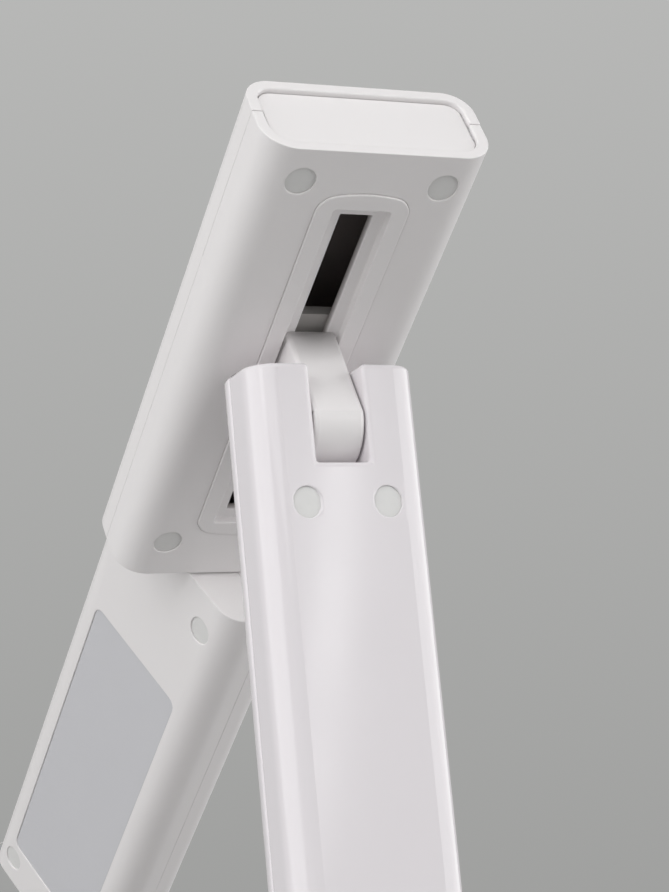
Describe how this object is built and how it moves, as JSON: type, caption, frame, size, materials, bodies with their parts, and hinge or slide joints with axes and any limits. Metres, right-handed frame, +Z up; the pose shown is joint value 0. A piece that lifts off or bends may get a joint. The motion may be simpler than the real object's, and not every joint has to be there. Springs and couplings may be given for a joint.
{
  "type": "folding LED desk lamp",
  "caption": "White folding LED desk lamp with a weighted base, a leaning arm, a slotted bar that slides on a hinged tongue, and a turning light head.",
  "frame": {"origin": "middle of the underside of the base's grip pad, on the table", "axes": "+Z up; +Y from the arm's foot towards the light head; +X to the right seen along +Y, along both hinge pins"},
  "size_m": [0.12, 0.329, 0.3868],
  "materials": {
    "white_satin": "satin white moulded plastic",
    "white_gloss": "glossy white moulded plastic",
    "grey_plastic": "matte grey plastic",
    "button_plastic": "smooth light grey plastic",
    "black_plastic": "matte black plastic",
    "grip_rubber": "matte dark rubber",
    "cap_silicone": "soft translucent silicone",
    "acetal": "smooth natural acetal",
    "steel": "zinc plated steel",
    "circuit_board": "green circuit board",
    "battery_film": "glossy blue grey film",
    "diffuser_milk": "satin milky light diffuser",
    "reflector_white": "bright white reflector",
    "board_aluminium": "white coated aluminium board",
    "chip_phosphor": "yellow phosphor light chips"
  },
  "bodies": {
    "base": {"base_shell": "white_satin", "base_cover": "grey_plastic", "grip_pad": "grip_rubber", "ballast_plate": "steel", "base_screws": "steel", "foot_bracket": "white_satin", "bracket_screws": "steel", "control_board": "circuit_board", "control_screws": "steel", "push_switch": "black_plastic", "power_inlet": "steel", "battery_pack": "battery_film"},
    "button": {"power_button": "button_plastic"},
    "arm": {"arm_front_shell": "white_gloss", "arm_back_shell": "white_gloss", "arm_steel_frame": "steel", "arm_screws": "steel", "arm_screw_caps": "cap_silicone", "foot_hinge_pin": "steel", "foot_hinge_nut": "steel", "foot_washers": "acetal", "top_hinge_pin": "steel", "top_hinge_nut": "steel", "top_washers": "acetal"},
    "carriage": {"tongue": "white_satin", "slide_carriage": "acetal", "carriage_screws": "steel", "brake_pads": "grip_rubber"},
    "bar": {"bar_front_shell": "white_satin", "bar_back_shell": "white_satin", "slot_frame": "white_satin", "bar_end_cap": "white_satin", "bar_screws": "steel", "bar_screw_caps": "cap_silicone", "swivel_bush": "acetal", "thrust_ring": "acetal", "swivel_spring_washer": "steel"},
    "head": {"head_front_shell": "white_satin", "head_back_shell": "white_satin", "head_end_cap": "white_satin", "head_screws": "steel", "head_screw_caps": "cap_silicone", "swivel_shaft": "steel", "swivel_nut": "steel", "diffuser": "diffuser_milk", "reflector": "reflector_white", "light_board": "board_aluminium", "light_chips": "chip_phosphor"}
  },
  "joints": [
    {"name": "foot_hinge", "type": "hinge", "parent": "base", "child": "arm", "pos_m": [0, -0.062, 0.035], "axis": [-1, 0, 0], "range_deg": [-23.2, 76.8]},
    {"name": "top_hinge", "type": "hinge", "parent": "arm", "child": "carriage", "pos_m": [0, 0.0008, 0.30273], "axis": [1, 0, 0], "range_deg": [-49, 120]},
    {"name": "bar_slide", "type": "slide", "parent": "carriage", "child": "bar", "axis": [0, 0.7193, -0.6947], "range_m": [-0.0463, 0.0425]},
    {"name": "head_swivel", "type": "hinge", "parent": "bar", "child": "head", "pos_m": [0, 0.08152, 0.27059], "axis": [0, 0.7193, -0.6947], "range_deg": [-69, 111]},
    {"name": "power_press", "type": "slide", "parent": "base", "child": "button", "axis": [0, 0, -1], "range_m": [0, 0.0008], "stiffness_N_per_m": 600, "springref_m": -0.0005}
  ]
}
